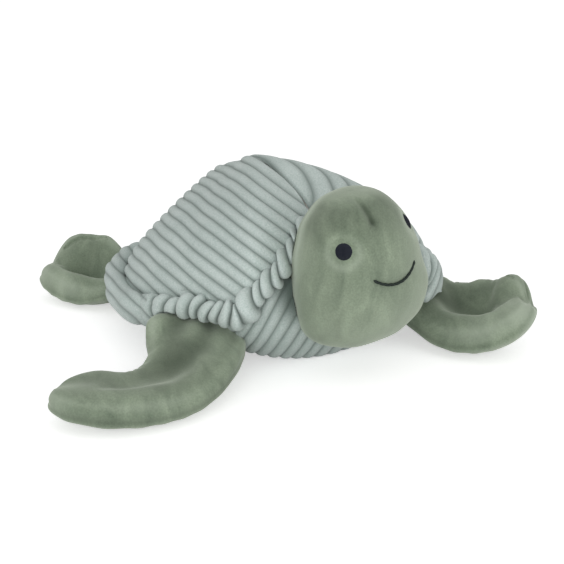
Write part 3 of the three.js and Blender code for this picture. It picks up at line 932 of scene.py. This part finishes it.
def head_surface(rise, bearing):
    """The upright head: rise runs from 0 at the chin to 1 at the crown, bearing from the nose round."""
    level = 2 * rise - 1
    girth = head_girth(level)
    x = HEAD_FORWARD + HEAD_LEAN * level + HEAD_HALF_LENGTH * girth * np.cos(bearing)
    y = HEAD_HALF_WIDTH * girth * np.sin(bearing)
    z = HEAD_MIDDLE + HEAD_HEIGHT / 2 * level
    return np.stack(np.broadcast_arrays(x, y, z), -1)


def roll_head(points, roll=HEAD_ROLL):
    """The head leans to the turtle's right."""
    y, z = rotate(points[..., 1], points[..., 2] - HEAD_MIDDLE, roll)
    return np.stack([points[..., 0], y, z + HEAD_MIDDLE], -1)


def round_neck(points):
    """The back of the head swells into a round neck that is sewn into the shell."""
    from_neck = points - NECK
    far = np.linalg.norm(from_neck, axis=-1, keepdims=True)
    return NECK + from_neck * np.maximum(1, NECK_RADIUS / far)


def head_relief(points):
    """How far the cloth stands off the plain form of the head, and its nap and painted light."""
    x, y, z = points[..., 0], points[..., 1], points[..., 2]
    # The seam between face and back draws the cloth in; painted shade darkens the seam line and painted
    # sheen lightens a band just in front of it
    from_seam = x - HEAD_SEAM_FORWARD
    height = 0.7 * hump(from_seam, 3.5, 2.5) + 0.7 * hump(from_seam, -3.5, 2.5) - hump(from_seam, 0, 1.2)
    nap_and_painted_light = 0.55 * hump(from_seam, 10, 4.5) - 0.5 * hump(from_seam, 0, 0.9)
    # The eyes are stitched through, so each sits in a shallow dimple
    for side in (1, -1):
        from_eye = np.linalg.norm(points - eye_place(side), axis=-1)
        height -= 1.2 * hump(from_eye, 0, 6.5)
        # Painted light brightens a ring round each dimple
        nap_and_painted_light += 0.28 * hump(from_eye, 8.5, 2.5)
    # A short dart runs down the middle of the brow and ends in a dimple; painted shade darkens the dart
    # and the dimple, and painted light brightens a strip beside it
    dart = smooth(x, 80, 90) * smooth(z, 91.5, 94.5)
    from_dart = y - DART_SIDE
    dimple = hump(x, 96.5, 3) * hump(from_dart, 0, 2.6) * hump(z, 94, 3)
    height += dart * (0.4 * hump(from_dart, -3.5, 2.5) - 0.8 * hump(from_dart, 0, 1.5)) - 0.7 * dimple
    nap_and_painted_light += dart * (0.12 * hump(from_dart, -3, 2) - 0.4 * hump(from_dart, 0.8, 1.6)) - 0.25 * dimple
    # Darker over the crown and brow, and a little paler low on the face towards the front
    crown = smooth(z, 78, 97) * (1 - 1.6 * smooth(z, 100, 104.5))
    nap_and_painted_light += 0.12 * hump(z, 34, 17) * smooth(x, 60, 90) - 0.3 * crown
    for place, fullness, width in HEAD_FULLNESS.values():
        height += fullness * hump(np.linalg.norm(points - place, axis=-1), 0, width)
    # The mouth line is pulled in
    height -= 0.8 * hump(z, SMILE_HEIGHT + 1, 5) * hump(y, 2, 16) * smooth(x, 85, 95)
    # Stuffing that lies a little unevenly
    height += 0.8 * np.sin(x / 9.0 + 1.0) * np.sin(z / 11.0) * np.cos(y / 12.0)
    height += 0.4 * np.sin(y / 5.0 + z / 7.0) * np.sin(z / 6.0 - x / 8.0)
    return height, nap_and_painted_light


def head_cloth(finish):
    """Face and back of the head in one skin, with the seam between them drawn in."""
    down, turn = shares(HEAD_GRID)
    points = head_surface((1 - np.cos(math.pi * down)) / 2, 2 * math.pi * turn)
    normal = outward(points, [HEAD_FORWARD, 0, HEAD_MIDDLE])
    height, nap_and_painted_light = head_relief(points)
    points = round_neck(roll_head(points + normal * height[..., None]))
    piece = cloth_piece("head_cloth", [points], finish, "head",
                        ["head_face_panel", "head_back_panel"], nap_and_painted_light=[nap_and_painted_light])
    face_outward(piece.data)
    push_clear(piece, "head_filling")
    return piece


def eye_place(side):
    return head_surface(EYE_RISE, FACE_TURN + side * EYE_BEARING)


def facing(rise, bearing):
    """The way the face looks at one spot."""
    step = 0.01
    here = head_surface(rise, bearing)
    beside = head_surface(rise, bearing + step) - here
    above = head_surface(rise + step, bearing) - here
    return unit(np.cross(beside, above))


def frame_on(normal):
    side = unit(np.cross([0, 0, 1.0], normal))
    return side, np.cross(normal, side)


def satin_eye(side, finish):
    """Satin stitch: threads laid side by side over padding, a low dome with a ridged edge."""
    normal = facing(EYE_RISE, FACE_TURN + side * EYE_BEARING)
    across, up = frame_on(normal)
    radius, turn = shares(EYE_GRID)
    turn = 2 * math.pi * turn
    ragged = 1 + 0.012 * np.sin(37 * turn) + 0.008 * np.sin(61 * turn + 1)
    flat = radius * EYE_RADIUS * ragged
    x, y = flat * np.cos(turn), flat * np.sin(turn)
    high = EYE_PADDING * (1 - radius ** 2.4) * np.ones_like(turn)
    thread = 0.10 * np.cos(2 * math.pi * x / EYE_THREAD) * (1 - radius ** 8)
    # The edge of each disc follows the curve of the cheek
    hand = "left" if side > 0 else "right"
    lift = high + thread - EYE_SUNK[hand] - 0.012 * flat ** 2
    points = eye_place(side) + normal * lift[..., None] + across * x[..., None] + up * y[..., None]
    return cloth_piece(f"satin_eye_{hand}", [roll_head(points)], finish, "head", [f"eye_{hand}"])


def smile_line(finish):
    """A line of stem stitch: short twisted stitches, each a little thicker in its middle."""
    along, turn = shares(SMILE_GRID)
    aside = 2 * along[:, 0] - 1
    bearing = FACE_TURN + aside * SMILE_BEARING
    rise = (SMILE_HEIGHT + SMILE_RISE * aside ** 2 - HEAD_BASE) / HEAD_HEIGHT
    spots = head_surface(rise, bearing)
    normals = np.array([facing(r, b) for r, b in zip(rise, bearing)])
    across = np.cross(normals, unit(np.gradient(spots, axis=0)))
    run = distance_along(spots[:, None], 0)
    angle = 2 * math.pi * turn
    plump = 0.78 + 0.22 * np.abs(np.sin(math.pi * (run / STITCH_LENGTH + 0.15 * np.sin(angle))))
    ends = np.sqrt(np.clip(np.minimum(run, run[-1] - run) / 1.2, 0.02, 1))
    radius = SMILE_THREAD * plump * ends
    points = (spots[:, None] + normals[:, None] * (0.1 + radius * np.cos(angle))[..., None]
              + across[:, None] * (radius * np.sin(angle))[..., None])
    return cloth_piece("smile_line", [roll_head(points)], finish, "head", ["smile_stitch"])


# Flippers

def flipper_surface(pose, along, across, over):
    """Top or base of a flipper: a lens in section, hollow on top, that thins out to a round tip."""
    cut = pose["cut"]
    root, reach = cut["root_radius"], pose["length"]
    distance = lerp(-root, reach, along)
    past_root = np.maximum(distance, 0) / reach
    tip_share = np.maximum(distance - (reach - cut["tip_round"]), 0) / cut["tip_round"]
    root_squareness = 0.25 if pose["elbow_fill"] else 0.5
    root_curve = np.maximum(0, 1 - np.minimum(distance / root, 0) ** 2) ** root_squareness
    tip_curve = np.sqrt(np.maximum(0, 1 - tip_share ** 2))
    spread = smooth(past_root, 0, SPREAD_SHARE)
    half_width = lerp(cut["root_half_width"], cut["half_width"], spread)
    width = half_width * across * root_curve * tip_curve ** TIP_SQUARE
    # The cloth bags out on the inner side of the bend
    bagged = hump(distance, 4, 22) * smooth(along, 0.0, 0.08)
    width = width - pose["elbow_fill"] * bagged * smooth(-across, 0, 1)
    half_thickness = lerp(cut["root_radius"], cut["thickness"], spread)
    plump = np.sqrt(np.maximum(0, 1 - across ** 2))
    lens = half_thickness * root_curve * tip_curve ** TIP_THIN * plump
    settle = smooth(past_root, SETTLE_SHARE, SPREAD_SHARE)
    centre = lerp(cut["height"], cut["thickness"] - REST_CUT, settle)
    dish = cut["hollow"] * settle * hump(across, 0, HOLLOW_WIDTH) * tip_curve
    lift = pose["edge_lift"] * settle * smooth(-width / cut["half_width"], CURL_START, 1)
    # Where the cloth bags out it is also gathered up under the rim
    lift = lift + pose["elbow_fill"] * hump(distance, -4, 13) * smooth(-across, 0.2, 1)
    swell = plumpness(along, across, over, pose["outer_fill"]) * np.sqrt(plump * tip_curve)
    half = (np.maximum(lens - dish, 0.3 * lens) if over else -lens) + swell
    return lay_flipper(pose, distance, width, centre + lift, half)


def lay_flipper(pose, distance, width, height, half):
    """Curls the tip up along an arc, bends the flipper back along its length and puts it in its place."""
    cut, reach = pose["cut"], pose["length"]
    start = CURL_FROM * reach
    beyond = np.maximum(distance - start, 0)
    angle = np.maximum(pose["tip_curl"] * beyond / (reach - start), LEAST_CURL)
    curled = beyond > 0
    out = np.where(curled, start + beyond / angle * np.sin(angle), distance)
    up = np.where(curled, beyond / angle * (1 - np.cos(angle)), 0)
    bend_radius = reach / pose["bend"]
    straight = np.minimum(out, 0) - half * np.sin(angle)
    x, y = rotate(bend_radius + width, straight, np.maximum(out, 0) / bend_radius)
    x, y = rotate(x - bend_radius, y, -(cut["bearing"] + pose["swing"]))
    z = height + up + half * np.cos(angle)
    return np.stack([x + cut["forward"], pose["side"] * (y + cut["out"]), np.maximum(z, FLOOR_GAP)], -1)


def flipper_cloth(name, pose, finish):
    """Top and base cut from velour, sewn round the edge, turned and blown out by their stuffing."""
    row, column = shares(FLIPPER_GRID)
    along = (1 - np.cos(math.pi * row)) / 2 + 0 * column
    across = lerp(-np.cos(math.pi * column), 2 * column - 1, 0.5) + 0 * row
    grids = [flipper_surface(pose, along, across, over) for over in (True, False)]
    # The base is mapped beside the top, so that the two don't share a place
    uv = np.stack([across, along], -1)
    base_uv = uv + [BASE_MAPPED, 0]
    piece = cloth_mesh(f"{name}_cloth", grids, finish, [uv, base_uv], [False, True])
    face_outward(piece.data)
    blow_out(piece)
    refine(piece, 2)
    sew_edges(piece, pose)
    push_clear(piece, f"{name}_filling")
    attach(piece, name, [f"{name}_top", f"{name}_base"])
    return piece


def plumpness(along, across, over, outer_fill):
    """Fullest along the outer half and the tip, so that a hollow stays along the inner half of the top."""
    edges = hump(np.abs(across), 0.7, 0.25) * smooth(along, 0.15, 0.45)
    if not over:
        return 0.6 * edges
    outer = hump(across, 0.5, 0.42) * smooth(along, 0.28, 0.6)
    tip = smooth(along, 0.62, 0.86)
    return 1.4 * edges + outer_fill * np.maximum(outer, 0.95 * tip * smooth(across, -1.1, -0.4))


def blow_out(piece, cap=2.5 * MM):
    """Cloth simulation: the stuffing presses outward while the root stays sewn down."""
    mesh = piece.data
    start = read_points(mesh)
    held = piece.vertex_groups.new(name="sewn_root")
    place = uv_of_points(mesh)
    held.add([int(i) for i in np.flatnonzero(place[:, 1] < SEWN_SHARE)], 1.0, "REPLACE")
    cloth = piece.modifiers.new("stuffed", "CLOTH")
    for setting, value in CLOTH.items():
        setattr(cloth.settings, setting, value)
    cloth.settings.use_pressure = True
    cloth.settings.vertex_group_mass = held.name
    cloth.settings.effector_weights.gravity = 0
    cloth.collision_settings.use_collision = False
    scene = bpy.context.scene
    for frame_number in range(1, BLOW_FRAMES + 1):
        scene.frame_set(frame_number)
    shaped = piece.evaluated_get(bpy.context.evaluated_depsgraph_get())
    moved = read_points(shaped.data) - start
    size = np.linalg.norm(moved, axis=1, keepdims=True)
    moved *= np.minimum(1, cap / np.maximum(size, 1e-9))
    piece.modifiers.remove(cloth)
    scene.frame_set(1)
    write_points(mesh, start + moved)


def refine(piece, levels):
    """Smooth subdivision, kept as the piece's own mesh."""
    smoother = piece.modifiers.new("smoother", "SUBSURF")
    smoother.levels = levels
    smoother.render_levels = levels
    shaped = piece.evaluated_get(bpy.context.evaluated_depsgraph_get())
    finer = bpy.data.meshes.new_from_object(shaped)
    piece.modifiers.remove(smoother)
    piece.data = finer
    finer.shade_smooth()


def uv_of_points(mesh):
    flat = np.empty(len(mesh.loops) * 2, np.float32)
    mesh.uv_layers["cloth"].data.foreach_get("uv", flat)
    corner = np.empty(len(mesh.loops), np.int32)
    mesh.loops.foreach_get("vertex_index", corner)
    place = np.zeros((len(mesh.vertices), 2))
    place[corner] = flat.reshape(-1, 2)
    place[:, 0] -= BASE_MAPPED * (place[:, 0] > BASE_MAPPED / 2)
    return place


def sew_edges(piece, pose):
    """The seam round the edge draws in, with short puckers across it; gathers fan from the root."""
    mesh = piece.data
    place = uv_of_points(mesh)
    across, along = place[:, 0], place[:, 1]
    distance = lerp(-pose["cut"]["root_radius"], pose["length"], along)
    seam = np.maximum(hump(np.abs(across), 1, 0.03) * smooth(along, 0.08, 0.16), hump(along, 1, 0.008))
    beside = hump(np.abs(across), 0.84, 0.1)
    puckers = np.sin(distance / 1.6 + 2.0 * np.sin(distance / 9.0)) * beside
    gathers = np.exp(-np.maximum(distance - 6, 0) / 15.0) * np.cos(math.pi * (3.2 * across + 0.5))
    gathers = gathers * smooth(distance, -4, 3)
    uneven = np.sin(along * 9 + across * 2.0) * np.cos(across * 4 + along * 5) * smooth(along, 0.15, 0.4)
    height = -0.7 * seam + 0.22 * puckers + 1.3 * gathers * (1 - across ** 2) + 0.4 * uneven
    points = read_points(mesh) + read_points(mesh, "normal") * (height * MM)[:, None]
    points[:, 2] = np.maximum(points[:, 2], FLIPPER_FLOOR_GAP * MM)
    write_points(mesh, points)
    # Painted light and shade: darker in the hollow, in the drawn-in seam and down the middle of the top;
    # paler over the tip, beside the seam, on the ridges of the gathers and over the outer half; each cut
    # sets its own amounts for the hollow, root, tip and whole flipper
    shade = pose["cut"]["nap_and_painted_light"]
    spot_along, spot_across = pose["cut"]["hollow_spot"]
    hollow = hump(along, spot_along, 0.14) * hump(across, spot_across, 0.45)
    root = 1 - smooth(distance, 18, 45)
    tip = smooth(along, 0.84, 0.95)
    outer = smooth(along, 0.45, 0.8) * smooth(across, -0.2, 0.4)
    nap_and_painted_light = 0.25 * beside - 0.25 * seam + 0.3 * gathers - 0.12 * (1 - np.abs(across)) + 0.12 * uneven
    nap_and_painted_light += shade["all"] + shade["hollow"] * hollow + shade["root"] * root + shade["tip"] * tip
    nap_and_painted_light += pose["outer_painted_light"] * outer
    set_nap_and_painted_light(mesh, nap_and_painted_light)


# Floor and light

def studio():
    floor_mesh = bpy.data.meshes.new("floor")
    size = FLOOR_HALF_WIDTH
    floor_mesh.from_pydata([(-size, -size, 0), (size, -size, 0), (size, size, 0), (-size, size, 0)],
                           [], [(0, 1, 2, 3)])
    floor = put("floor", floor_mesh)
    floor_mesh.materials.append(floor_paper())
    world = bpy.data.worlds.new("studio")
    world.use_nodes = True
    tree = world.node_tree
    backdrop = tree.nodes["Background"]
    backdrop.inputs["Color"].default_value = (1, 1, 1, 1)
    ray = add(tree, "ShaderNodeLightPath")
    strength = add(tree, "ShaderNodeMapRange", {"To Min": WORLD_LIGHT, "To Max": 1.0},
                   {"Value": ray.outputs["Is Camera Ray"]})
    tree.links.new(strength.outputs[0], backdrop.inputs["Strength"])
    bpy.context.scene.world = world
    for name, lamp in LAMPS.items():
        soft_lamp(name, **lamp)


def floor_paper():
    """White seamless paper; what the lens sees of it is lifted towards white, its shadow stays."""
    finish, tree, surface = new_finish("floor_paper", {
        "Base Color": linear("#f6f6f6"),
        "Roughness": 1.0,
        "Specular IOR Level": 0.0,
        "Emission Color": (1, 1, 1, 1),
    })
    ray = add(tree, "ShaderNodeLightPath")
    lift = add(tree, "ShaderNodeMapRange", {"To Min": 0.0, "To Max": FLOOR_LIFT},
               {"Value": ray.outputs["Is Camera Ray"]})
    tree.links.new(lift.outputs[0], surface.inputs["Emission Strength"])
    return finish


def soft_lamp(name, place, size, power):
    lamp_data = bpy.data.lights.new(name, "AREA")
    lamp_data.shape = "DISK"
    lamp_data.size = size
    lamp_data.energy = power
    lamp = put(name, lamp_data)
    lamp.location = place
    lamp.rotation_euler = (LAMP_AIM - Vector(place)).to_track_quat("-Z", "Y").to_euler()


def dress_fillings(finish):
    for name, node in frame["nodes"].items():
        if name.endswith("_filling"):
            node.data.materials.clear()
            node.data.materials.append(finish)


def main():
    bpy.context.scene.view_settings.view_transform = "Standard"
    make_camera()
    studio()
    corduroy_cloth = corduroy()
    velour_cloth = velour()
    shell_cloth(1, corduroy_cloth)
    shell_cloth(-1, corduroy_cloth)
    belly_cloth(corduroy_cloth)
    head_cloth(velour_cloth)
    eye_thread = embroidery_thread("rayon_satin_stitch", "#10141d", "#1b2130", EYE_THREAD * MM)
    for side in (1, -1):
        satin_eye(side, eye_thread)
    smile_line(embroidery_thread("rayon_stem_stitch", "#151d19", "#26322c", SMILE_THREAD * MM))
    flippers = {name: flipper_cloth(name, pose, velour_cloth) for name, pose in FLIPPERS.items()}
    rim_roll(corduroy_cloth, flippers)
    dress_fillings(fibrefill())


main()
